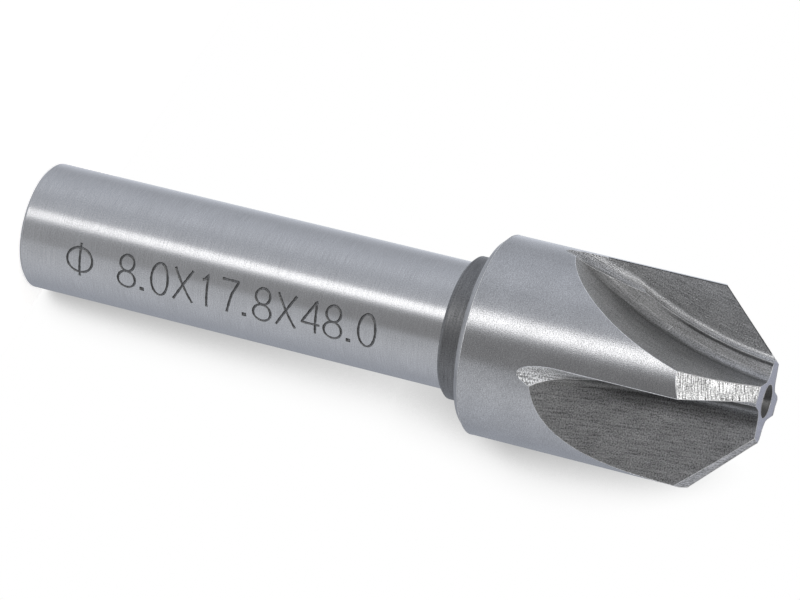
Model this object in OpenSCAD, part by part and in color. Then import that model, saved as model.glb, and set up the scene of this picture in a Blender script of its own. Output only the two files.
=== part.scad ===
// Four-fluted countersink bit with a plain cylindrical shank, millimetres.
// The shank end stands on z = 0 and the axis is +Z, towards the nose. The bit cuts right-handed:
// seen from the shank it turns clockwise, so every rake face looks along the turning direction.

/* [Overall] */
// Overall length, from the shank end to the flat of the nose
overall_length = 48; // [40:0.5:70]
// Number of teeth, evenly spaced round the axis
teeth = 4; // [3, 4]

/* [Shank] */
// Ground diameter that the chuck or collet holds
shank_diameter = 8; // [6:0.1:8.5]
// Chamfer on the free end
shank_chamfer = 0.2; // [0.1:0.05:1]

/* [Collar] */
// Diameter of the turned collar behind the head
collar_diameter = 9; // [8.9:0.1:9.6]
// Length of the collar, from the back of the head
collar_length = 1.7; // [1:0.1:4]
// Chamfer on the edge of the collar that meets the shank
collar_chamfer = 0.2; // [0.05:0.05:0.4]

/* [Head] */
// Largest diameter that the bit can countersink
head_diameter = 12.5; // [11.5:0.1:14]
// Length of the head, from its back to the nose
head_length = 17.8; // [16:0.1:24]
// Chamfer on the back edge of the head
head_chamfer = 0.4; // [0.1:0.05:1]

/* [Point] */
// Included angle of the countersink
point_angle = 90; // [75, 82, 90, 100, 120]
// Diameter across the cutting corners at the flat nose
nose_diameter = 5; // [4.6:0.1:6]
// Angle by which each flat land falls away behind its cutting edge
relief_angle = 19; // [8:1:22]

/* [Milled flutes] */
// Distance from the nose to where a milled flute runs out on the head
flute_length = 13; // [11:0.1:14.5]
// Distance from the axis to the floor of the flute at the nose
flute_web = 1.3; // [1.25:0.01:1.6]
// Radius of the milling cutter
mill_radius = 25; // [20:1:40]
// Rounding of the cutter's corner against the rake face
mill_corner_round = 0.45; // [0.35:0.05:0.6]
// Height above the floor at which that rounding ends in a sharp ridge
mill_ridge_height = 1.05; // [0.8:0.05:1.4]
// Distance of the ridge from the rake face
mill_ridge_width = 0.3; // [0.2:0.05:0.35]
// Distance from the rake face at which the bevel below the ridge reaches the floor
mill_bevel_width = 0.85; // [0.7:0.05:1.3]
// Rounding between the bevel and the floor
mill_bevel_round = 0.8; // [0.2:0.1:1.2]

/* [Ground rake faces] */
// Angle by which a rake face leans forward of the radius at the head's surface
rake_angle = 4; // [1:0.5:6]
// Distance from the nose to where the grinding wheel runs out on the head
rake_length = 13.8; // [11:0.1:14.8]
// Distance from the axis to the foot of the rake face at the nose
rake_web = 2.5; // [2.4:0.05:3]
// Radius of the grinding wheel
wheel_radius = 90; // [60:5:150]
// Rounding of the rim of the wheel, which leaves the fillet at the foot
wheel_tip_round = 0.8; // [0.5:0.05:1.1]
// Angle at which the back of the wheel slopes away from its rim
wheel_back_angle = 25; // [20:1:40]

/* [Centre holes] */
// Included angle of both centres
centre_angle = 60; // [60, 75, 90]
// Diameter of the centre at the nose
nose_centre = 2.1; // [1.6:0.1:2.3]
// Diameter of the pilot hole in the nose
nose_pilot = 1; // [0.6:0.1:1.2]
// Depth of the pilot hole in the nose
nose_pilot_depth = 2.7; // [2:0.1:5]
// Diameter of the centre in the shank end
shank_centre = 3.3; // [2.4:0.1:4.4]
// Diameter of the pilot hole in the shank end
shank_pilot = 1.6; // [1:0.1:2]
// Depth of the pilot hole in the shank end
shank_pilot_depth = 4.2; // [3:0.1:8]

/* [Hidden] */
$fn = 180;

half_angle = point_angle / 2;
head_radius = head_diameter / 2;
head_back_z = overall_length - head_length;
collar_back_z = head_back_z - collar_length;

// Cutting corner where the point meets the full diameter
corner_z = overall_length - (head_diameter - nose_diameter) / 2 / tan(half_angle);

// The rake faces lie this far behind the axis, which gives the rake angle at the head's surface
rake_offset = head_radius * sin(rake_angle);
corner_x = head_radius * cos(rake_angle);

// Both cutters are wide enough to leave the head at the heel of the tooth in front
cutter_width = head_diameter;
// Cutters reach this far past the surfaces that they open
overshoot = 1;

// Centre [distance from the axis, height] of a disc of radius r whose rim meets the head's surface
// at the given distance from the nose and stands web away from the axis at the nose itself
function disc_centre(r, length, web) =
    let (
        rise = head_radius - web,
        chord = sqrt(length * length + rise * rise),
        lift = sqrt(r * r - chord * chord / 4)
    )
    [
        (head_radius + web) / 2 + lift * length / chord,
        overall_length - length / 2 + lift * rise / chord
    ];

// Cylinder of the shank, with its end chamfer, running into the collar
module shank() {
    color("lightsteelblue")
    rotate_extrude()
    polygon([
        [0, 0],
        [shank_diameter / 2 - shank_chamfer, 0],
        [shank_diameter / 2, shank_chamfer],
        [shank_diameter / 2, head_back_z],
        [0, head_back_z]
    ]);
}

// Turned collar, left dark behind the ground head
module collar() {
    color("dimgray")
    translate([0, 0, collar_back_z])
    rotate_extrude()
    polygon([
        [0, 0],
        [collar_diameter / 2 - collar_chamfer, 0],
        [collar_diameter / 2, collar_chamfer],
        [collar_diameter / 2, collar_length + head_chamfer],
        [0, collar_length + head_chamfer]
    ]);
}

// Ground cylinder from which the teeth are cut
module head_blank() {
    color("silver")
    translate([0, 0, head_back_z])
    rotate_extrude()
    polygon([
        [0, 0],
        [head_radius - head_chamfer, 0],
        [head_radius, head_chamfer],
        [head_radius, head_length],
        [0, head_length]
    ]);
}

// Section of the milling cutter: [distance from its own axis, distance from the rake face]
module mill_section() {
    corner_x = mill_radius - mill_ridge_height
        - sqrt(mill_corner_round ^ 2 - (mill_corner_round - mill_ridge_width) ^ 2);
    bevel_angle = atan2(mill_ridge_height, mill_bevel_width - mill_ridge_width);
    tangent = mill_bevel_round * tan(bevel_angle / 2);
    polygon([
        [0, 0],
        [corner_x, 0],
        [mill_radius - mill_ridge_height, mill_ridge_width],
        [mill_radius - tangent * sin(bevel_angle), mill_bevel_width - tangent * cos(bevel_angle)],
        [mill_radius, mill_bevel_width + tangent],
        [mill_radius, cutter_width],
        [0, cutter_width]
    ]);
    translate([corner_x, mill_corner_round])
    circle(r = mill_corner_round);
    translate([mill_radius - mill_bevel_round, mill_bevel_width + tangent])
    circle(r = mill_bevel_round);
}

// Section of the grinding wheel: its flat side grinds the rake face, its rounded rim the fillet
module wheel_section() {
    tip_x = wheel_radius - wheel_tip_round;
    back_x = tip_x + wheel_tip_round * cos(wheel_back_angle);
    back_y = wheel_tip_round * (1 + sin(wheel_back_angle));
    far_y = cutter_width / 4;
    polygon([
        [0, 0],
        [tip_x, 0],
        [tip_x, wheel_tip_round],
        [back_x, back_y],
        [back_x - (far_y - back_y) * tan(wheel_back_angle), far_y],
        [0, far_y]
    ]);
    translate([tip_x, wheel_tip_round])
    circle(r = wheel_tip_round);
}

// One disc cutter standing on the rake plane of the tooth along +X, with its axis along +Y
module disc_cutter(centre) {
    translate([centre[0], -rake_offset, centre[1]])
    rotate([-90, 0, 0])
    rotate_extrude()
    children();
}

// Flute in front of the tooth along +X: the milled gullet and the ground rake face
module flute() {
    color("gray") {
        disc_cutter(disc_centre(mill_radius, flute_length, flute_web)) mill_section();
        disc_cutter(disc_centre(wheel_radius, rake_length, rake_web)) wheel_section();
    }
}

// Everything ahead of the flat land of the tooth along +X, which falls away behind its cutting edge
module land_relief() {
    color("gainsboro")
    translate([corner_x, -rake_offset, corner_z])
    rotate([0, 90 - half_angle, 0])
    rotate([relief_angle, 0, 0])
    translate([-head_diameter, -head_diameter, 0])
    cube([2 * head_diameter, 2 * head_diameter, head_diameter]);
}

// Centre with its pilot hole, drilled along +Z from the face at z = 0
module centre_hole(mouth, pilot, depth) {
    slope = tan(centre_angle / 2);
    color("darkslategray")
    rotate_extrude()
    polygon([
        [0, -overshoot],
        [mouth / 2 + overshoot * slope, -overshoot],
        [pilot / 2, (mouth - pilot) / 2 / slope],
        [pilot / 2, depth],
        [0, depth + pilot / 2 / tan(59)]
    ]);
}

module countersink() {
    difference() {
        union() {
            shank();
            collar();
            head_blank();
        }
        for (i = [0:teeth - 1])
            rotate([0, 0, i * 360 / teeth]) {
                flute();
                land_relief();
            }
        centre_hole(shank_centre, shank_pilot, shank_pilot_depth);
        translate([0, 0, overall_length])
        mirror([0, 0, 1])
        centre_hole(nose_centre, nose_pilot, nose_pilot_depth);
    }
}

countersink();
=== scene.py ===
"""Looks of the countersink bit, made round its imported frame. Blender works in metres, in the frame of the
CAD model: the shank's end stands on z = 0 and the axis is +Z. The sizes named here are in millimetres."""
from collections import namedtuple
from math import atan2, cos, degrees, hypot, pi, radians, sin, sqrt, tan

import bmesh
import bpy
from mathutils import Euler, Matrix, Vector, noise


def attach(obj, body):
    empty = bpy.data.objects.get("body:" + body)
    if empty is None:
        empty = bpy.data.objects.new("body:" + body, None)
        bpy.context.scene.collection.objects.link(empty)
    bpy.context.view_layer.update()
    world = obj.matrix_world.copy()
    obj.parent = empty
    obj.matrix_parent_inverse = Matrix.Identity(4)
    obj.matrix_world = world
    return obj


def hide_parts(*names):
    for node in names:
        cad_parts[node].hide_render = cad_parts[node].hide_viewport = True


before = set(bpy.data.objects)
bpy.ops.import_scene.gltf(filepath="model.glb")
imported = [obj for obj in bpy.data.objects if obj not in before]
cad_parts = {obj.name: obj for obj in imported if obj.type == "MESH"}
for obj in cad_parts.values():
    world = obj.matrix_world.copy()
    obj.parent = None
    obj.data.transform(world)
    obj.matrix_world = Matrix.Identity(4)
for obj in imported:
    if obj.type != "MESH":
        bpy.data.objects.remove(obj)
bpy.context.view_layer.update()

# Metres in a millimetre
MM = 0.001

# Sizes of the solid, as in its source
LENGTH = 48.0
SHANK_R = 4.0
COLLAR_R = 4.5
COLLAR_BACK = 28.5
HEAD_BACK = 30.2
HEAD_CHAMFER = 0.4
HEAD_R = 6.25
RAKE_ANGLE = radians(4)
RAKE_OFFSET = HEAD_R * sin(RAKE_ANGLE)
POINT_HALF_ANGLE = radians(45)
RELIEF_ANGLE = radians(19)
NOSE_HOLE_R = 1.05
SHANK_HOLE_R = 1.65
TEETH = 4

# Normal of the flat land of the tooth along +X
LAND_TURN = Euler((0, pi / 2 - POINT_HALF_ANGLE, 0)).to_matrix() @ Euler((RELIEF_ANGLE, 0, 0)).to_matrix()
LAND_NORMAL = LAND_TURN @ Vector((0, 0, 1))

# Camera: its angles in degrees and its place, found by fitting the outline of the solid to the photograph
CAMERA_AZIMUTH = -14.3
CAMERA_ELEVATION = 18.6535
CAMERA_ROLL = -103.754
CAMERA_AIM = Vector((-0.65208, 0.16621, 24.06412))
CAMERA_DISTANCE = 259.4673
CAMERA_LENS = 189.9765
CAMERA_SENSOR = 36


# Objects and meshes

def placed(name, data):
    """New object in the scene."""
    thing = bpy.data.objects.new(name, data)
    bpy.context.scene.collection.objects.link(thing)
    return thing


def made_mesh(thing):
    """New mesh of an object, as its curve or its modifiers make it."""
    bpy.context.view_layer.update()
    return bpy.data.meshes.new_from_object(thing.evaluated_get(bpy.context.evaluated_depsgraph_get()))


def round_curve(name, radius, resolution):
    """Empty curve whose strokes are round and closed at their ends."""
    curve = bpy.data.curves.new(name, "CURVE")
    curve.dimensions = "3D"
    curve.bevel_depth = radius * MM
    curve.bevel_resolution = resolution
    curve.use_fill_caps = True
    return curve


def add_stroke(curve, places, widths, closed=False):
    """Adds a stroke through places, in metres. widths are the shares of the curve's radius there."""
    spline = curve.splines.new("POLY")
    spline.points.add(len(places) - 1)
    spline.use_cyclic_u = closed
    for point, place, width in zip(spline.points, places, widths):
        point.co = (*place, 1)
        point.radius = width


# Cutters that opened the flutes

# Distance from the nose to where a cutter runs out on the head, and from the axis to its floor at the nose
FLUTE_LENGTH = 13.0
FLUTE_WEB = 1.3
RAKE_LENGTH = 13.8
RAKE_WEB = 2.5
CUTTER_WIDTH = 2 * HEAD_R


def disc_centre(radius, length, web):
    """Axis of the cutter that opened a flute: its distance from the tool's axis, and its height."""
    rise = HEAD_R - web
    chord = hypot(length, rise)
    lift = sqrt(radius ** 2 - chord ** 2 / 4)
    return Vector(((HEAD_R + web) / 2 + lift * length / chord, LENGTH - length / 2 + lift * rise / chord))


class Cutter:
    """Disc cutter on the tooth along +X. Its section is in [distance from its axis, distance from the rake
    face]: lines run with the open side on their left, and arcs are open towards their centre. finishes
    names what each line, and then each arc, leaves on the steel."""

    def __init__(self, finishes, axis, radius, lines, arcs):
        self.finishes = finishes
        self.axis = axis
        self.radius = radius
        self.lines = [(Vector(a), Vector(b)) for a, b in lines]
        self.arcs = [(Vector(centre), r) for centre, r in arcs]

    def parts(self):
        """Numbers of the section's lines, and after them of its arcs."""
        return range(len(self.lines) + len(self.arcs))

    def reach(self, point):
        """The point in the section, and the direction in space of the section's first axis."""
        across = Vector((point.x - self.axis.x, point.z - self.axis.y))
        outward = Vector((across.x, 0, across.y)).normalized()
        return Vector((across.length, point.y + RAKE_OFFSET)), outward

    def gap(self, part, spot):
        """Distance in the section from one line or arc."""
        if part < len(self.lines):
            a, b = self.lines[part]
            along = (b - a).normalized()
            run = min(max((spot - a).dot(along), 0), (b - a).length)
            return (spot - a - along * run).length
        centre, r = self.arcs[part - len(self.lines)]
        return abs((spot - centre).length - r)

    def normal(self, part, point):
        """True normal of the cut surface at a point."""
        spot, outward = self.reach(point)
        if part < len(self.lines):
            a, b = self.lines[part]
            along = (b - a).normalized()
            open_side = Vector((-along.y, along.x))
        else:
            open_side = (self.arcs[part - len(self.lines)][0] - spot).normalized()
        return outward * open_side.x + Vector((0, 1, 0)) * open_side.y

    def marks(self, point):
        """Place on the cutter's path: across the section, and along the way that the rim runs."""
        spot, _ = self.reach(point)
        turn = atan2(point.z - self.axis.y, point.x - self.axis.x)
        return spot.x + spot.y, (turn % (2 * pi)) * self.radius


def milling_cutter(radius=25.0, corner=0.45, ridge_height=1.05, ridge_width=0.3, bevel_width=0.85,
                   bevel_round=0.8):
    """Leaves the floor of a flute, and beside the rake face a rounded corner, a ridge and a bevel."""
    side = radius - ridge_height - sqrt(corner ** 2 - (corner - ridge_width) ** 2)
    bevel_angle = atan2(ridge_height, bevel_width - ridge_width)
    tangent = bevel_round * tan(bevel_angle / 2)
    ridge = (radius - ridge_height, ridge_width)
    bevel_end = (radius - tangent * sin(bevel_angle), bevel_width - tangent * cos(bevel_angle))
    floor_start = (radius, bevel_width + tangent)
    return Cutter(
        # The bevel and the round between the bevel and the floor take darker copies of the milled finish:
        # painted shade
        ["flute_milled", "bevel_milled_shaded", "flute_milled", "flute_milled", "valley_milled_shaded"],
        disc_centre(radius, FLUTE_LENGTH, FLUTE_WEB), radius,
        [((0, 0), (side, 0)), (ridge, bevel_end), (floor_start, (radius, CUTTER_WIDTH))],
        [((side, corner), corner), ((radius - bevel_round, bevel_width + tangent), bevel_round)])


def grinding_wheel(radius=90.0, tip=0.8, back_angle=radians(25)):
    """Leaves the rake face with its flat side, and the fillet at the foot with its rounded rim."""
    back = (radius - tip + tip * cos(back_angle), tip * (1 + sin(back_angle)))
    far = (back[0] - CUTTER_WIDTH * sin(back_angle), back[1] + CUTTER_WIDTH * cos(back_angle))
    return Cutter(
        ["rake_ground", "foot_ground", "foot_ground"],
        disc_centre(radius, RAKE_LENGTH, RAKE_WEB), radius,
        [((0, 0), (radius - tip, 0)), (back, far)],
        [((radius - tip, tip), tip)])


CUTTERS = [grinding_wheel(), milling_cutter()]
# Turn that brings each tooth to the one along +X. The left tooth is the one along -X, whose rake face the
# photograph shows.
TOOTH_TURNS = [Matrix.Rotation(-tooth * 2 * pi / TEETH, 3, "Z") for tooth in range(TEETH)]
LEFT_TOOTH = 2

# A cutter may have left a face this close to its section. A face turned square to the cut counts as being
# TURN_COST further away.
CUT_REACH = 0.1
TURN_COST = 0.3


def cutter_of(centre, normal):
    """Cutter, part of its section and tooth that left a face of a flute."""
    best_cost, best = None, None
    for tooth, turn in enumerate(TOOTH_TURNS):
        point, facing_way = turn @ centre, turn @ normal
        for cutter in CUTTERS:
            spot, _ = cutter.reach(point)
            for part in cutter.parts():
                gap = cutter.gap(part, spot)
                if gap > CUT_REACH:
                    continue
                cost = gap + TURN_COST * (1 - cutter.normal(part, point).dot(facing_way))
                if best is None or cost < best_cost:
                    best_cost, best = cost, (cutter, part, tooth)
    return best


# Nodes

class Wiring:
    """Short calls for placing and joining the nodes of one tree."""

    def __init__(self, tree):
        self.tree = tree
        tree.nodes.clear()

    def give(self, socket, value):
        if isinstance(value, bpy.types.NodeSocket):
            self.tree.links.new(value, socket)
        else:
            socket.default_value = value

    def add(self, kind, **settings):
        """New node. in_Name or in_0 gives an input a value or a link. Any other word sets a property."""
        node = self.tree.nodes.new(kind)
        for key, value in settings.items():
            if key.startswith("in_"):
                place = key[3:]
                self.give(node.inputs[int(place) if place.isdigit() else place.replace("_", " ")], value)
            else:
                setattr(node, key, value)
        return node

    def math(self, operation, a, b=0.0, c=0.0):
        return self.add("ShaderNodeMath", operation=operation, in_0=a, in_1=b, in_2=c).outputs[0]

    def scaled(self, vector, factor):
        return self.add("ShaderNodeVectorMath", operation="SCALE", in_0=vector, in_Scale=factor).outputs[0]

    def noise(self, vector, scale, detail, rough):
        return self.add("ShaderNodeTexNoise", in_Vector=vector, in_Scale=scale, in_Detail=detail,
                        in_Roughness=rough).outputs["Fac"]

    def ramp(self, factor, stops):
        node = self.add("ShaderNodeValToRGB", in_Fac=factor)
        elements = node.color_ramp.elements
        while len(elements) < len(stops):
            elements.new(1.0)
        for element, (place, colour) in zip(elements, stops):
            element.position = place
            element.color = (*colour, 1)
        return node.outputs[0]

    def remap(self, value, from_low, from_high, low, high, interpolation="LINEAR"):
        return self.add("ShaderNodeMapRange", interpolation_type=interpolation, in_0=value, in_1=from_low,
                        in_2=from_high, in_3=low, in_4=high).outputs[0]

    def mix(self, factor, a, b):
        """Colour between a and b. Inputs 6 and 7 and output 2 of the node are the ones for colours."""
        node = self.add("ShaderNodeMix", data_type="RGBA", in_0=factor)
        self.give(node.inputs[6], a)
        self.give(node.inputs[7], b)
        return node.outputs[2]

    def parts_of(self, vector):
        return self.add("ShaderNodeSeparateXYZ", in_0=vector).outputs

    def marks(self):
        """Place on the marks map: millimetres across the cutter's path, and along it."""
        return self.add("ShaderNodeUVMap", uv_map="marks").outputs[0]

    def height(self):
        """Height above the shank's end, in millimetres."""
        return self.math("DIVIDE", self.parts_of(self.add("ShaderNodeTexCoord").outputs["Object"])[2], MM)


def start_group(name, inputs):
    """Wiring and inputs of a new node group. inputs gives each input its name and default value."""
    tree = bpy.data.node_groups.new(name, "ShaderNodeTree")
    for label, value in inputs.items():
        kind = "NodeSocketColor" if isinstance(value, tuple) else "NodeSocketFloat"
        tree.interface.new_socket(label, in_out="INPUT", socket_type=kind).default_value = value
    w = Wiring(tree)
    return w, w.add("NodeGroupInput").outputs


def finish_group(w, results):
    """Gives the group its outputs, each with its name and what it puts out."""
    for label, value in results.items():
        kind = "NodeSocketColor" if value.type == "RGBA" else "NodeSocketFloat"
        w.tree.interface.new_socket(label, in_out="OUTPUT", socket_type=kind)
    out = w.add("NodeGroupOutput")
    for label, value in results.items():
        w.give(out.inputs[label], value)
    return w.tree


def grey(value):
    """Linear colour of an sRGB grey of 0 to 255."""
    v = value / 255
    v = v / 12.92 if v <= 0.04045 else ((v + 0.055) / 1.055) ** 2.4
    return v, v, v, 1


# Effects that the finishes share

# Clouds a millimetre, and the range of their noise that counts
CLOUD_SCALE = 0.6
CLOUD_RANGE = (0.3, 0.7)
# Cells a millimetre, of which those with a number in the range have a pit, the largest radius of a pit in
# cells, and the width of its soft edge
PIT_SCALE = 1.3
PIT_RANGE = (0.55, 1.0)
PIT_RADIUS = 0.1
PIT_EDGE = 0.03
# Range of the pattern in which a rough run-out goes from dark to light
SPECK_RANGE = (0.45, 0.55)


def worked_steel_group():
    """Steel under the marks of a cutter or wheel: streaks along the cutter's path and across it, grain, a
    soft cloud and small pits. Tone is the share of light that the cloud and the pits leave."""
    w, given = start_group("worked_steel", {
        "Dark": grey(100), "Light": grey(200), "Roughness": 0.3, "Roughness Spread": 0.1,
        "Streak Width": 0.1, "Streak Length": 2.0, "Grain Size": 0.08,
        "Streaks": 0.5, "Cross Streaks": 0.0, "Grain": 0.5, "Spread": 0.15, "Cloud": 0.05, "Pits": 0.3})
    marks = w.marks()
    u, v, _ = w.parts_of(marks)

    def streaks(across, along):
        stretched = w.add("ShaderNodeCombineXYZ", in_0=w.math("DIVIDE", across, given["Streak Width"]),
                          in_1=w.math("DIVIDE", along, given["Streak Length"])).outputs[0]
        return w.noise(stretched, scale=1.0, detail=3.0, rough=0.65)

    fine = w.scaled(marks, w.math("DIVIDE", 1.0, given["Grain Size"]))
    grain = w.noise(fine, scale=1.0, detail=2.0, rough=0.6)
    pattern = w.math("MULTIPLY", streaks(u, v), given["Streaks"])
    pattern = w.math("MULTIPLY_ADD", streaks(v, u), given["Cross Streaks"], pattern)
    pattern = w.math("MULTIPLY_ADD", grain, given["Grain"], pattern)
    low = w.math("SUBTRACT", 0.5, given["Spread"])
    high = w.math("ADD", 0.5, given["Spread"])
    shade = w.remap(pattern, low, high, 0.0, 1.0)

    cloud = w.remap(w.noise(marks, scale=CLOUD_SCALE, detail=3.0, rough=0.55), *CLOUD_RANGE,
                    w.math("SUBTRACT", 1.0, given["Cloud"]), w.math("ADD", 1.0, given["Cloud"]))
    spots = w.add("ShaderNodeTexVoronoi", in_Vector=marks, in_Scale=PIT_SCALE).outputs
    pit_size = w.remap(w.parts_of(spots["Color"])[0], *PIT_RANGE, 0.0, PIT_RADIUS)
    pits = w.remap(w.math("SUBTRACT", pit_size, spots["Distance"]), 0.0, PIT_EDGE, 0.0, given["Pits"])
    return finish_group(w, {
        "Colour": w.mix(shade, given["Dark"], given["Light"]),
        "Tone": w.math("MULTIPLY", cloud, w.math("SUBTRACT", 1.0, pits)),
        "Roughness": w.math("MULTIPLY_ADD", w.math("SUBTRACT", 0.5, shade), given["Roughness Spread"],
                            given["Roughness"]),
        "Pattern": pattern})


def painted_shade_line_group():
    """Share of light that is left by a line of painted shade along the cutter's path."""
    w, given = start_group("painted_shade_line", {
        "Across": 25.0, "Half Width": 0.2, "Darkness": 0.5, "Start": 40.0, "End": 42.0})
    off = w.math("ABSOLUTE", w.math("SUBTRACT", w.parts_of(w.marks())[0], given["Across"]))
    core = w.math("DIVIDE", given["Half Width"], 3.0)
    line = w.remap(off, given["Half Width"], core, 0.0, given["Darkness"])
    shown = w.remap(w.height(), given["Start"], given["End"], 0.0, 1.0)
    return finish_group(w, {"Light": w.math("SUBTRACT", 1.0, w.math("MULTIPLY", line, shown))})


def rough_runout_group():
    """Turns ground steel coarse and speckled where the wheel runs out, below the height End."""
    w, given = start_group("rough_runout", {
        "Colour": grey(150), "Roughness": 0.3, "Depth": 0.01, "Pattern": 0.5, "Start": 36.0, "End": 38.0,
        "Dark": grey(100), "Light": grey(200), "Extra Roughness": 0.1, "Extra Depth": 0.01})
    near = w.remap(w.height(), given["Start"], given["End"], 1.0, 0.0)
    specks = w.remap(given["Pattern"], *SPECK_RANGE, 0.0, 1.0)
    return finish_group(w, {
        "Colour": w.mix(near, given["Colour"], w.mix(specks, given["Dark"], given["Light"])),
        "Roughness": w.math("MULTIPLY_ADD", near, given["Extra Roughness"], given["Roughness"]),
        "Depth": w.math("MULTIPLY_ADD", near, given["Extra Depth"], given["Depth"])})


WORKED_STEEL = worked_steel_group()
PAINTED_SHADE_LINE = painted_shade_line_group()
ROUGH_RUNOUT = rough_runout_group()


# Finishes

# Line of painted shade along a cutter's path: its place across the cutter's section, half its width, the
# share of light that it takes away, and the heights between which it comes up
PaintedShadeLine = namedtuple("PaintedShadeLine", "across half_width darkness start end")
# Rough end of a ground face: the heights between which it fades, and the tones, roughness and relief in it
Runout = namedtuple("Runout", "start end tones roughness depth")


def steel(name, tones, roughness, streak=(0.1, 2.0), grain=0.08, shares=(0.5, 0, 0.5), spread=0.15,
          depth=0.004, rough_spread=0.1, cloud=0.05, pits=0.3, painted_shade_line=None, runout=None):
    """Steel whose colour, roughness and relief follow the marks of its tool. tones are the dark and the
    light sRGB grey, streak is the width and length of a streak, grain the size of a grain, and shares the
    weights of streaks, cross streaks and grain. spread is how far from its middle the pattern reaches the
    two tones, depth the relief, rough_spread how far the roughness varies, and cloud and pits how strong
    these two are."""
    material = bpy.data.materials.new(name)
    material.use_nodes = True
    w = Wiring(material.node_tree)
    worked = w.add("ShaderNodeGroup", node_tree=WORKED_STEEL, in_Dark=grey(tones[0]),
                   in_Light=grey(tones[1]), in_Roughness=roughness, in_Roughness_Spread=rough_spread,
                   in_Streak_Width=streak[0], in_Streak_Length=streak[1], in_Grain_Size=grain,
                   in_Streaks=shares[0], in_Cross_Streaks=shares[1], in_Grain=shares[2], in_Spread=spread,
                   in_Cloud=cloud, in_Pits=pits).outputs
    colour, tone, rough, pattern = (worked[part] for part in ("Colour", "Tone", "Roughness", "Pattern"))
    # Painted shade: a darker line along the cutter's path
    if painted_shade_line:
        light = w.add("ShaderNodeGroup", node_tree=PAINTED_SHADE_LINE, in_Across=painted_shade_line.across,
                      in_Half_Width=painted_shade_line.half_width, in_Darkness=painted_shade_line.darkness,
                      in_Start=painted_shade_line.start, in_End=painted_shade_line.end).outputs["Light"]
        tone = w.math("MULTIPLY", tone, light)
    if runout:
        coarse = w.add("ShaderNodeGroup", node_tree=ROUGH_RUNOUT, in_Colour=colour, in_Roughness=rough,
                       in_Depth=depth, in_Pattern=pattern, in_Start=runout.start, in_End=runout.end,
                       in_Dark=grey(runout.tones[0]), in_Light=grey(runout.tones[1]),
                       in_Extra_Roughness=runout.roughness - roughness,
                       in_Extra_Depth=runout.depth - depth).outputs
        colour, rough, depth = (coarse[part] for part in ("Colour", "Roughness", "Depth"))
    height = w.math("MULTIPLY", w.math("SUBTRACT", pattern, 0.5), depth)
    relief = w.add("ShaderNodeBump", in_Strength=1.0, in_Distance=MM, in_Height=height).outputs[0]
    shader = w.add("ShaderNodeBsdfPrincipled", in_Metallic=1.0, in_Base_Color=w.scaled(colour, tone),
                   in_Roughness=rough, in_Normal=relief)
    w.add("ShaderNodeOutputMaterial", in_Surface=shader.outputs[0])
    return material


# This line is a painted shadow along the ridge beside the bevel
BEVEL_SHADOW_LINE = PaintedShadeLine(across=24.43, half_width=0.18, darkness=0.72, start=40.0, end=42.5)
# This line is painted shade in the flute floor beside the valley, on the teeth other than the left one
VALLEY_SHADE = PaintedShadeLine(across=26.2, half_width=1.0, darkness=0.6, start=36.0, end=40.5)
SMOOTH_RUNOUT = Runout(start=35.8, end=39.5, tones=(105, 215), roughness=0.4, depth=0.02)
# This run-out is partly a coarse finish and partly a painted highlight: its tones reach near white
COARSE_LIT_RUNOUT = Runout(start=35.8, end=37.6, tones=(155, 255), roughness=0.75, depth=0.08)

# What several finishes have in common
ROUND_GROUND = dict(grain=0.07, shares=(0.35, 0, 0.65), pits=0)
MILLED = dict(roughness=0.36, streak=(0.12, 1.6), grain=0.09, depth=0.012, cloud=0.1)
FOOT = dict(tones=(115, 222), roughness=0.32, streak=(0.09, 1.6), shares=(0.4, 0, 0.6), depth=0.01,
            cloud=0.1, pits=0)
EDGE = dict(streak=(0.1, 0.3), grain=0.1, shares=(0.3, 0, 0.7), pits=0)

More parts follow.
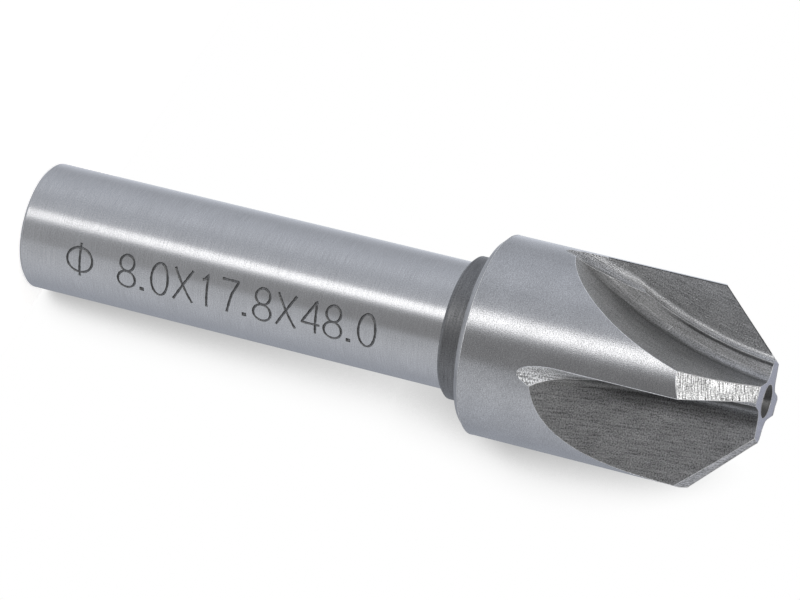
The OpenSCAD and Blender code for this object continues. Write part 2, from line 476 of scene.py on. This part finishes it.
# The finishes, named for what they are on and how it was made. Some are darker or lighter copies that carry
# painted shade, a painted shadow, a painted highlight or a painted glint, as said beside them
LOOKS = {
    "shank_ground": dict(ROUND_GROUND, tones=(150, 177), roughness=0.2, streak=(0.06, 1.5), depth=0.003,
                         rough_spread=0.06, cloud=0.03),
    "shank_end_turned": dict(tones=(148, 168), roughness=0.3, streak=(0.08, 3.0), shares=(0.7, 0, 0.3),
                             depth=0.003),
    "collar_turned": dict(tones=(86, 124), roughness=0.42, streak=(0.12, 2.0), shares=(0.4, 0, 0.6),
                          depth=0.006),
    "head_back_turned": dict(tones=(130, 165), roughness=0.35, streak=(0.1, 3.0), shares=(0.6, 0, 0.4),
                             depth=0.003),
    "head_ground": dict(ROUND_GROUND, tones=(134, 178), roughness=0.18, streak=(0.06, 0.4), depth=0.006,
                        rough_spread=0.08),
    "flute_milled": dict(MILLED, tones=(98, 218), shares=(0.33, 0, 0.67)),
    # Darker copy of flute_milled for the other teeth, with a line of painted shade near the valley
    "flute_shaded": dict(MILLED, tones=(90, 210), shares=(0.38, 0, 0.62), spread=0.13,
                         painted_shade_line=VALLEY_SHADE),
    # Darker copy of flute_milled in the round between the bevel and the floor: painted shade in the crease
    "valley_milled_shaded": dict(MILLED, tones=(87, 190), shares=(0.38, 0, 0.62)),
    # Darker copy of the milled finish on the bevel, with a painted shadow along its ridge: painted shade
    "bevel_milled_shaded": dict(MILLED, tones=(80, 162), shares=(0.33, 0, 0.67), painted_shade_line=BEVEL_SHADOW_LINE),
    "rake_ground": dict(tones=(100, 212), roughness=0.3, streak=(0.1, 1.6), shares=(0.35, 0, 0.65),
                        depth=0.01, cloud=0.08),
    "foot_ground": dict(FOOT, runout=SMOOTH_RUNOUT),
    # Lighter copy of foot_ground for the other teeth; its speckled run-out is partly a painted highlight
    "foot_coarse_lit": dict(FOOT, runout=COARSE_LIT_RUNOUT),
    "land_ground": dict(tones=(78, 255), roughness=0.3, streak=(0.06, 0.9), shares=(0.55, 0.1, 0.35),
                        spread=0.08, depth=0.03, cloud=0.03, pits=0),
    "nose_ground": dict(tones=(150, 180), roughness=0.3, streak=(0.08, 1.5), grain=0.07),
    "centre_drilled": dict(tones=(85, 120), roughness=0.3, streak=(0.06, 1.0), grain=0.07, depth=0.005),
    "marking_groove": dict(tones=(80, 130), roughness=0.5, streak=(0.1, 0.3), shares=(0.4, 0, 0.6),
                           depth=0.01, pits=0),
    # Burrs along sharp edges; their light tone is a painted glint
    "edge_burr_glint": dict(EDGE, tones=(190, 250), roughness=0.4),
    # Dark lines of painted shade along the edges of the rake face
    "edge_painted_shade": dict(EDGE, tones=(50, 90), roughness=0.5),
}
FINISHES = {name: steel(name, **look) for name, look in LOOKS.items()}
FINISH_INDEX = {name: index for index, name in enumerate(FINISHES)}
# Finishes that the other teeth have in place of the left one's: a lighter copy of the foot, partly a
# painted highlight, and darker copies of the flute floor that carry painted shade
OTHER_TEETH = {"foot_ground": "foot_coarse_lit", "flute_milled": "flute_shaded",
               "valley_milled_shaded": "flute_shaded"}


def take_finishes(mesh):
    """Gives a mesh all finishes, in the order of FINISH_INDEX."""
    mesh.materials.clear()
    for material in FINISHES.values():
        mesh.materials.append(material)


# Size marking on the shank

# Diameter of the shank, length of the head and length of the tool, after a diameter sign
MARK_TEXT = f"O  {2 * SHANK_R:.1f}X{LENGTH - HEAD_BACK:.1f}X{LENGTH:.1f}"
# Height at which the first figure begins, and how many degrees the marking is turned away from the camera
MARK_START = 3.4
MARK_FROM_CAMERA = 24.3
MARK_ANGLE = radians(CAMERA_AZIMUTH - 90 + MARK_FROM_CAMERA)
MARK_HEIGHT = 2.16
# Room that a figure takes along the shank, and the room of the others
MARK_PITCH = 1.5
OTHER_PITCH = {".": 0.75, "X": 1.72, " ": 1.0}
# Width of a stroke, and how many times wider a dot is
MARK_STROKE = 0.18
DOT_WIDTH = 1.6
# The middle of a stroke stands this far out of the shank, and its points are at most this share of the
# height apart, so that it follows the round
MARK_STANDOFF = 0.02
MARK_STEP = 0.05
# Share by which the width of a stroke sways, how fast the two waves of it run along the points, and how far
# the quick one shifts for each millimetre from figure to figure
STROKE_SWAY = 0.16
QUICK_WAVE = 1.7
SLOW_WAVE = 0.61
QUICK_SHIFT = 5


def arc(x, y, rx, ry, start, end, steps):
    """Points on an ellipse from one angle to another, in degrees."""
    turns = [radians(start + (end - start) * i / steps) for i in range(steps + 1)]
    return [(x + rx * cos(turn), y + ry * sin(turn)) for turn in turns]


# Strokes of the figures, which are 1 high. O is the diameter sign.
GLYPHS = {
    "O": [arc(0.4, 0.5, 0.4, 0.38, 0, 360, 24), [(0.4, -0.02), (0.4, 1.02)]],
    "0": [arc(0.28, 0.5, 0.26, 0.5, 0, 360, 24)],
    "1": [[(0.12, 0.82), (0.2, 0.86), (0.28, 1.0), (0.28, 0.0)]],
    "4": [[(0.44, 0.0), (0.44, 1.0), (0.02, 0.3), (0.58, 0.3)]],
    "7": [[(0.02, 1.0), (0.54, 1.0), (0.36, 0.6), (0.22, 0.0)]],
    "8": [arc(0.28, 0.76, 0.22, 0.24, 270, 630, 20), arc(0.28, 0.26, 0.27, 0.26, 90, 450, 20)],
    "X": [[(0.02, 0.0), (0.6, 1.0)], [(0.04, 1.0), (0.62, 0.0)]],
    ".": [[(0.0, 0.06), (0.14, 0.06)]],
}


def is_closed(stroke):
    """Whether a stroke ends where it starts."""
    return hypot(stroke[0][0] - stroke[-1][0], stroke[0][1] - stroke[-1][1]) < 1e-6


def followed(points, closed):
    """The stroke with points no further apart than a step."""
    ends = points[1:] + points[:1] if closed else points[1:]
    line = []
    for a, b in zip(points, ends):
        parts = max(1, int(hypot(b[0] - a[0], b[1] - a[1]) / MARK_STEP))
        line += [(a[0] + (b[0] - a[0]) * i / parts, a[1] + (b[1] - a[1]) * i / parts) for i in range(parts)]
    return line if closed else line + [points[-1]]


def on_shank(at, x, y):
    """Place on the shank, in metres, of a point of the figure that starts at that height."""
    turn = MARK_ANGLE - (y - 0.5) * MARK_HEIGHT / SHANK_R
    reach = (SHANK_R + MARK_STANDOFF) * MM
    return reach * cos(turn), reach * sin(turn), (at + x * MARK_HEIGHT) * MM


def marking():
    """Rounded cutter along every stroke of the marking, wrapped round the shank."""
    curve = round_curve("marking_cutter", MARK_STROKE / 2, 2)
    at = MARK_START
    for character in MARK_TEXT:
        for stroke in GLYPHS.get(character, ()):
            closed = is_closed(stroke)
            points = followed(stroke[:-1] if closed else stroke, closed)
            if character == ".":
                widths = [DOT_WIDTH] * len(points)
            else:
                widths = [1 + STROKE_SWAY * sin(i * QUICK_WAVE + at * QUICK_SHIFT) * sin(i * SLOW_WAVE + at)
                          for i in range(len(points))]
            add_stroke(curve, [on_shank(at, x, y) for x, y in points], widths, closed)
        at += OTHER_PITCH.get(character, MARK_PITCH)
    return curve


# The tool

# Points of the solid that are closer than this are one, and edges shorter than this go
SAME_POINT = 0.0005
SHORTEST_EDGE = 0.0002

# Room that is left when a face is known by its height, by an end or a hole, and by its radius
HEIGHT_SLACK = 0.001
END_SLACK = 0.01
RADIUS_SLACK = 0.05
# Heights below which the faces of the shank's end and of its hole lie
SHANK_END = 0.25
SHANK_HOLE_END = 8.0
# Heights between which the marking lies, and the least depth and largest area of a face in it
MARKED_SPAN = (2.0, 27.0)
GROOVE_DEPTH = 0.012
GROOVE_AREA = 0.2
# A face looks back where the part of its normal along the axis is less than this
FACING_BACK = -0.5
# Two normals are the same where their product is more than this
SAME_WAY = 0.999
# On the head's round, the least part of a normal away from the axis, and the largest along it
OUTWARD = 0.995
SQUARE_TO_AXIS = 0.02


def land_turn(normal):
    """Turn that brings the land with that normal to the tooth along +X."""
    return max(TOOTH_TURNS, key=lambda turn: (turn @ normal).dot(LAND_NORMAL))


def shank_finish(r, centre, normal, area):
    """Name of the finish of a face behind the collar, at a distance r from the axis."""
    if r < SHANK_HOLE_R + END_SLACK and centre.z < SHANK_HOLE_END:
        return "centre_drilled"
    if centre.z < SHANK_END and normal.z < FACING_BACK:
        return "shank_end_turned"
    marked = MARKED_SPAN[0] < centre.z < MARKED_SPAN[1]
    sunk = r < SHANK_R - GROOVE_DEPTH and marked and area < GROOVE_AREA
    return "marking_groove" if sunk else "shank_ground"


def finish_of(centre, normal, area):
    """Name of the finish of a face, from its middle, its normal and its area. It is flute for what a disc
    cutter left."""
    r = hypot(centre.x, centre.y)
    radial = (centre.x * normal.x + centre.y * normal.y) / max(r, 1e-6)
    if centre.z < COLLAR_BACK + HEIGHT_SLACK and r < SHANK_R + RADIUS_SLACK:
        return shank_finish(r, centre, normal, area)
    if centre.z < HEAD_BACK - HEIGHT_SLACK and r < COLLAR_R + RADIUS_SLACK:
        return "collar_turned"
    if centre.z < HEAD_BACK + HEAD_CHAMFER and normal.z < FACING_BACK:
        return "head_back_turned"
    if radial > OUTWARD and abs(normal.z) < SQUARE_TO_AXIS and r > HEAD_R - RADIUS_SLACK:
        return "head_ground"
    if normal.z > SAME_WAY and centre.z > LENGTH - END_SLACK:
        return "nose_ground"
    if r < NOSE_HOLE_R and radial < 0:
        return "centre_drilled"
    if (land_turn(normal) @ normal).dot(LAND_NORMAL) > SAME_WAY:
        return "land_ground"
    return "flute"


def merged_solid():
    """Mesh of the solid with its doubles merged."""
    mesh = bpy.data.meshes.new("tool")
    bm = bmesh.new()
    bm.from_mesh(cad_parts["countersink"].data)
    bmesh.ops.remove_doubles(bm, verts=bm.verts, dist=SAME_POINT * MM)
    bmesh.ops.dissolve_degenerate(bm, dist=SHORTEST_EDGE * MM, edges=bm.edges)
    bm.to_mesh(mesh)
    bm.free()
    return mesh


def make_tool():
    """The solid with the marking sunk in."""
    tool = placed("countersink_tool", merged_solid())
    strokes = placed("marking_cutter", marking())
    strokes_mesh = made_mesh(strokes)
    strokes_mesh.materials.clear()
    cutter = placed("marking_solid", strokes_mesh)
    sink = tool.modifiers.new("marking", "BOOLEAN")
    sink.operation = "DIFFERENCE"
    sink.object = cutter
    sink.solver = "EXACT"
    sink.use_self = True
    tool.data = made_mesh(tool)
    tool.modifiers.clear()
    for spare in (strokes, cutter):
        bpy.data.objects.remove(spare)
    return tool


# A face that looks along the axis more than this has its marks in rings round it, stretched as on a ring of
# at least that radius
END_FACE = 0.7
LEAST_RING = 1.0
# A turned or ground face that looks along the axis less than this has the normals of a true round
ROUND_FACE = 0.05


def cut_corner(cut, point):
    """Place on the marks map and true normal of a point that a cutter left."""
    cutter, part, tooth = cut
    turn = TOOTH_TURNS[tooth]
    place = turn @ point
    return cutter.marks(place), turn.transposed() @ cutter.normal(part, place)


def turned_corner(name, centre, normal, point):
    """Place on the marks map of a point on any other face, and its true normal. None keeps the mesh's."""
    r = hypot(centre.x, centre.y)
    around = atan2(centre.y, centre.x)
    swing = (atan2(point.y, point.x) - around + pi) % (2 * pi) - pi
    if abs(normal.z) > END_FACE:
        uv = (hypot(point.x, point.y), (around + swing) * max(r, LEAST_RING))
    elif name == "land_ground":
        uv = (LAND_TURN.transposed() @ (land_turn(normal) @ point))[:2]
    else:
        uv = (point.z, (around + swing) * r)
    if name in ("shank_ground", "head_ground", "collar_turned") and abs(normal.z) < ROUND_FACE:
        return uv, Vector((point.x, point.y, 0)).normalized()
    return uv, normal if name in ("land_ground", "nose_ground") else None


def dress(tool):
    """Gives every face of the finished mesh its finish, its place on the marks map and true normals."""
    mesh = tool.data
    take_finishes(mesh)
    marks = mesh.uv_layers.new(name="marks")
    normals = [Vector(n.vector) for n in mesh.corner_normals]
    mesh.polygons.foreach_set("use_smooth", [True] * len(mesh.polygons))
    for face in mesh.polygons:
        centre, normal = face.center / MM, face.normal
        name = finish_of(centre, normal, face.area / MM ** 2)
        cut = cutter_of(centre, normal) if name == "flute" else None
        if cut:
            cutter, part, tooth = cut
            name = cutter.finishes[part]
            # The other teeth take lit and shaded copies: painted highlight on the foot, painted shade in
            # the flute
            if tooth != LEFT_TOOTH:
                name = OTHER_TEETH.get(name, name)
        elif name == "flute":
            name = "flute_milled"
        face.material_index = FINISH_INDEX[name]
        for index in face.loop_indices:
            point = mesh.vertices[mesh.loops[index].vertex_index].co / MM
            uv, true_normal = cut_corner(cut, point) if cut else turned_corner(name, centre, normal, point)
            marks.data[index].uv = uv
            if true_normal is not None:
                normals[index] = true_normal
    mesh.normals_split_custom_set(normals)


# Lines along the sharp edges of the head

EdgeLine = namedtuple("EdgeLine", "radius finish")
# Line of most edges, of those round the lands, and of those of the rake face that the photograph shows. The
# burrs are real rounded edges whose light tone is a painted glint; the rake face's dark line is painted
# shade.
BURR = EdgeLine(0.016, "edge_burr_glint")
LAND_BURR = EdgeLine(0.025, "edge_burr_glint")
RAKE_SHADE_LINE = EdgeLine(0.03, "edge_painted_shade")
EDGE_LINES = (BURR, LAND_BURR, RAKE_SHADE_LINE)
# Edges sharper than this carry a line, from this height on
BURR_ANGLE = radians(25)
LOWEST_BURR = HEAD_BACK + 0.1
# The rake face that looks towards -Y, where the normal's Y is less than this, has dark lines of painted
# shade along its edges
DARK_EDGED = -0.5
# Share by which the thickness of a line varies, and how many times a millimetre
LINE_UNEVENNESS = 0.6
LINE_WAVES = 9


def beside(edge, finish):
    """Faces with that finish that meet at an edge."""
    return [face for face in edge.link_faces if face.material_index == FINISH_INDEX[finish]]


def edge_line(edge):
    """The line that runs along an edge of the head, if it is sharp and raised."""
    if len(edge.link_faces) != 2 or min(vert.co.z for vert in edge.verts) < LOWEST_BURR * MM:
        return None
    inside = min(hypot(vert.co.x, vert.co.y) for vert in edge.verts) < (NOSE_HOLE_R - RADIUS_SLACK) * MM
    if inside or not edge.is_convex or edge.calc_face_angle() < BURR_ANGLE:
        return None
    # Painted shade: a dark line along the edges of the rake face that looks towards -Y
    if any(face.normal.y < DARK_EDGED for face in beside(edge, "rake_ground")):
        return RAKE_SHADE_LINE
    return LAND_BURR if beside(edge, "land_ground") else BURR


def edge_chains(mesh):
    """Chains of points along the edges that carry a line, each with its line. A chain grows from both ends
    of its first edge, as far as one edge alone goes on."""
    bm = bmesh.new()
    bm.from_mesh(mesh)
    lines = {edge: edge_line(edge) for edge in bm.edges}
    left = [edge for edge in bm.edges if lines[edge]]
    waiting = set(left)
    chains = []
    for first in left:
        if first not in waiting:
            continue
        waiting.remove(first)
        chain = list(first.verts)
        for _ in range(2):
            while True:
                onward = [e for e in chain[-1].link_edges if e in waiting and lines[e] == lines[first]]
                if len(onward) != 1:
                    break
                waiting.remove(onward[0])
                chain.append(onward[0].other_vert(chain[-1]))
            chain.reverse()
        chains.append(([vert.co.copy() for vert in chain], lines[first]))
    bm.free()
    return chains


def edge_tubes(chains, line):
    """Mesh of thin uneven tubes along the chains that carry a line."""
    curve = round_curve("edge_lines", line.radius, 1)
    for chain, carried in chains:
        if carried == line:
            widths = [1 + LINE_UNEVENNESS * noise.noise(place / MM * LINE_WAVES) for place in chain]
            add_stroke(curve, chain, widths)
    tubes = placed("edge_lines", curve)
    mesh = made_mesh(tubes)
    bpy.data.objects.remove(tubes)
    take_finishes(mesh)
    while mesh.uv_layers:
        mesh.uv_layers.remove(mesh.uv_layers[0])
    marks = mesh.uv_layers.new(name="marks")
    for face in mesh.polygons:
        face.material_index = FINISH_INDEX[line.finish]
        for index in face.loop_indices:
            point = mesh.vertices[mesh.loops[index].vertex_index].co / MM
            # A slanting map, so that no side of a tube is drawn out into streaks
            marks.data[index].uv = (point.z + point.x, point.y - point.x)
    return mesh


def add_edge_lines(tool):
    """Joins the burrs, whose light tone is a painted glint, and the dark lines of painted shade to the
    tool.
    """
    chains = edge_chains(tool.data)
    pieces = [placed("edge_lines", edge_tubes(chains, line)) for line in EDGE_LINES]
    with bpy.context.temp_override(active_object=tool, selected_editable_objects=[tool, *pieces]):
        bpy.ops.object.join()


tool = make_tool()
dress(tool)
add_edge_lines(tool)
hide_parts("countersink")
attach(tool, "root")


# Floor and card

def facing(azimuth, elevation):
    """Unit vector towards a viewer at that azimuth and elevation, in degrees; azimuth 0 looks along +Y."""
    a, e = radians(azimuth), radians(elevation)
    return Vector((sin(a) * cos(e), -cos(a) * cos(e), sin(e)))


# Half the side of the floor, its colour, and the light that it gives by itself
FLOOR_REACH = 1500
FLOOR_COLOUR = (0.72, 0.7, 0.68, 1)
FLOOR_GLOW = 0.68

# The table of the photograph, as a white card that the head leans on: half its side, the way that it faces,
# and how far the tool's shadow reaches on it
CARD_REACH = 200
CARD_AZIMUTH = -56.784
CARD_TILT = 4.259
CARD_NORMAL = facing(CARD_AZIMUTH, CARD_TILT)
CARD_SHADOW_REACH = 6.0
# Tone of the card by how open a point is, where 0 is shut in by the tool and 1 is clear of it
CARD_TONES = {0.1: 0.4, 0.25: 0.57, 0.3: 0.65, 0.35: 0.745, 0.4: 0.85, 0.45: 0.91, 0.5: 0.95, 0.62: 1.0}


def end_material(w, shader, hidden):
    """Ends a material that is see-through where hidden is 1."""
    shown = w.add("ShaderNodeMixShader", in_0=hidden, in_1=shader.outputs[0],
                  in_2=w.add("ShaderNodeBsdfTransparent").outputs[0])
    w.add("ShaderNodeOutputMaterial", in_Surface=shown.outputs[0])


def floor_material():
    """Pale matt floor, white where it is lit and darker in the object's shadow."""
    material = bpy.data.materials.new("floor_pale")
    material.use_nodes = True
    w = Wiring(material.node_tree)
    matt = w.add("ShaderNodeBsdfDiffuse", in_Color=FLOOR_COLOUR)
    glowing = w.add("ShaderNodeEmission", in_Color=(1, 1, 1, 1), in_Strength=FLOOR_GLOW)
    both = w.add("ShaderNodeAddShader", in_0=matt.outputs[0], in_1=glowing.outputs[0])
    end_material(w, both, w.add("ShaderNodeLightPath").outputs["Is Glossy Ray"])
    return material


def card_material():
    """White card, seen from its front alone, with the soft shadow that the object leaves close by."""
    material = bpy.data.materials.new("card_white")
    material.use_nodes = True
    w = Wiring(material.node_tree)
    openness = w.add("ShaderNodeAmbientOcclusion", samples=24,
                     in_Distance=CARD_SHADOW_REACH * MM).outputs["AO"]
    shade = w.ramp(openness, [(place, (tone, tone, tone)) for place, tone in CARD_TONES.items()])
    glowing = w.add("ShaderNodeEmission", in_Color=shade, in_Strength=1.0)
    path = w.add("ShaderNodeLightPath").outputs
    behind = w.add("ShaderNodeNewGeometry").outputs["Backfacing"]
    end_material(w, glowing, w.math("MAXIMUM", path["Is Glossy Ray"], behind))
    return material


def stage_plane(name, centre, normal, reach, material):
    """Square plane that reaches that far from its centre. It casts no shadow."""
    bm = bmesh.new()
    turn = normal.to_track_quat("Z", "Y").to_matrix().to_4x4()
    matrix = Matrix.Translation(centre * MM) @ turn
    bmesh.ops.create_grid(bm, x_segments=1, y_segments=1, size=reach * MM, matrix=matrix)
    mesh = bpy.data.meshes.new(name)
    bm.to_mesh(mesh)
    bm.free()
    mesh.materials.append(material)
    plane = placed(name, mesh)
    plane.visible_shadow = False
    return plane


stage_plane("floor", Vector((0, 0, 0)), Vector((0, 0, 1)), FLOOR_REACH, floor_material())
card_touch = -CARD_NORMAL * HEAD_R + Vector((0, 0, HEAD_BACK))
card = stage_plane("card", card_touch, CARD_NORMAL, CARD_REACH, card_material())
card.visible_diffuse = False


# Light

# Light tent round the tool's axis: degrees from the camera's side, strength, coolness
TENT_RING = [
    (-180, 0.68, 1.3), (-165, 0.95, 1.3), (-125, 0.78, 1.3), (-92, 1.0, 1.3), (-70, 1.08, 1.2),
    (-50, 0.92, 1.2), (-28, 1.0, 1.0), (45, 0.93, 0.8), (70, 1.02, 0.9), (100, 0.92, 1.2),
    (140, 0.63, 1.6), (165, 0.42, 1.6), (178, 0.32, 1.6)]
# Red, green and blue that one step of coolness adds
COOL = (-0.045, -0.01, 0.07)

# What hangs in the tent: azimuth from the camera's side with its half width and soft edge, elevation with
# its own half width and soft edge, and strength
TENT_PANELS = {
    "open top": ((0, 180, 1), (45, 32, 22), (0.42, 0.42, 0.42)),
    "gap before the camera": ((17, 13, 12), (10, 26, 17), (0.44, 0.44, 0.45)),
    "upper gap": ((29, 20, 8), (22, 30, 8), (0.18, 0.18, 0.19)),
    "dark room": ((66, 17, 8), (14, 13, 8), (0.02, 0.02, 0.02)),
    "strip lamp": ((-14.5, 4.5, 6.5), (0, 22, 8), (3.1, 3.1, 3.15)),
    "shade round the camera": ((-24, 22, 8), (3, 8, 6), (0.42, 0.42, 0.42)),
    "upper strip": ((-2, 9, 6), (22, 6, 5), (4.5, 4.5, 4.5)),
    "overhead lamp": ((-38, 30, 20), (64, 10, 8), (1.9, 1.9, 1.9)),
    "blue window": ((180, 18, 12), (16, 8, 8), (0.62, 0.65, 0.8)),
}


def ring_colour(strength, coolness):
    """Colour of the tent at one place of the ring."""
    return tuple(strength * (1 + coolness * shift) for shift in COOL)


def panel_share(w, azimuth, elevation, across, upright):
    """1 on a panel of the tent, falling to 0 over its soft edges."""
    middle, half_width, soft_width = across
    level, half_height, soft_height = upright
    off = w.math("ABSOLUTE", w.math("WRAP", w.math("SUBTRACT", azimuth, middle), 180.0, -180.0))
    beyond = w.math("ABSOLUTE", w.math("SUBTRACT", elevation, level))
    return w.math("MULTIPLY", w.remap(off, half_width + soft_width, half_width, 0, 1, "SMOOTHSTEP"),
                  w.remap(beyond, half_height + soft_height, half_height, 0, 1, "SMOOTHSTEP"))


def light_tent():
    """World that lights the tool as a tent of white cloth does, and shows white to the camera."""
    world = bpy.data.worlds.new("light_tent")
    bpy.context.scene.world = world
    world.use_nodes = True
    w = Wiring(world.node_tree)
    direction = w.add("ShaderNodeTexCoord").outputs["Generated"]
    camera_side = CAMERA_AZIMUTH - 90
    turned = w.add("ShaderNodeMapping", in_Vector=direction,
                   in_Rotation=(0, 0, radians(-camera_side))).outputs[0]
    around = w.add("ShaderNodeTexGradient", gradient_type="RADIAL", in_Vector=turned).outputs["Fac"]
    azimuth = w.remap(around, 0, 1, -180, 180)
    elevation = w.math("MULTIPLY", w.math("ARCSINE", w.parts_of(direction)[2]), degrees(1))
    peak = max(strength for _, strength, _ in TENT_RING)
    stops = [((angle + 180) / 360, ring_colour(strength / peak, coolness))
             for angle, strength, coolness in TENT_RING]
    tone = w.scaled(w.ramp(around, stops), peak)
    for across, upright, colour in TENT_PANELS.values():
        tone = w.mix(panel_share(w, azimuth, elevation, across, upright), tone, (*colour, 1))
    tent = w.add("ShaderNodeBackground", in_Color=tone, in_Strength=1.0)
    white = w.add("ShaderNodeBackground", in_Color=(1, 1, 1, 1), in_Strength=1.0)
    seen = w.add("ShaderNodeLightPath").outputs["Is Camera Ray"]
    shown = w.add("ShaderNodeMixShader", in_0=seen, in_1=tent.outputs[0], in_2=white.outputs[0])
    w.add("ShaderNodeOutputWorld", in_Surface=shown.outputs[0])


light_tent()


# Camera

def place_camera():
    """Camera at the photograph's angle, turned on its side as it was."""
    data = bpy.data.cameras.new("photo_camera")
    data.lens = CAMERA_LENS
    data.sensor_width = CAMERA_SENSOR
    data.clip_start = 0.01
    data.clip_end = 10
    camera = placed("photo_camera", data)
    back = facing(CAMERA_AZIMUTH, CAMERA_ELEVATION)
    turn = Euler((pi / 2 - radians(CAMERA_ELEVATION), 0, radians(CAMERA_AZIMUTH))).to_matrix()
    roll = Matrix.Rotation(-radians(CAMERA_ROLL), 3, "Z")
    place = Matrix.Translation((CAMERA_AIM + back * CAMERA_DISTANCE) * MM)
    camera.matrix_world = place @ (turn @ roll).to_4x4()
    bpy.context.scene.camera = camera


place_camera()
bpy.context.scene.view_settings.view_transform = "Standard"
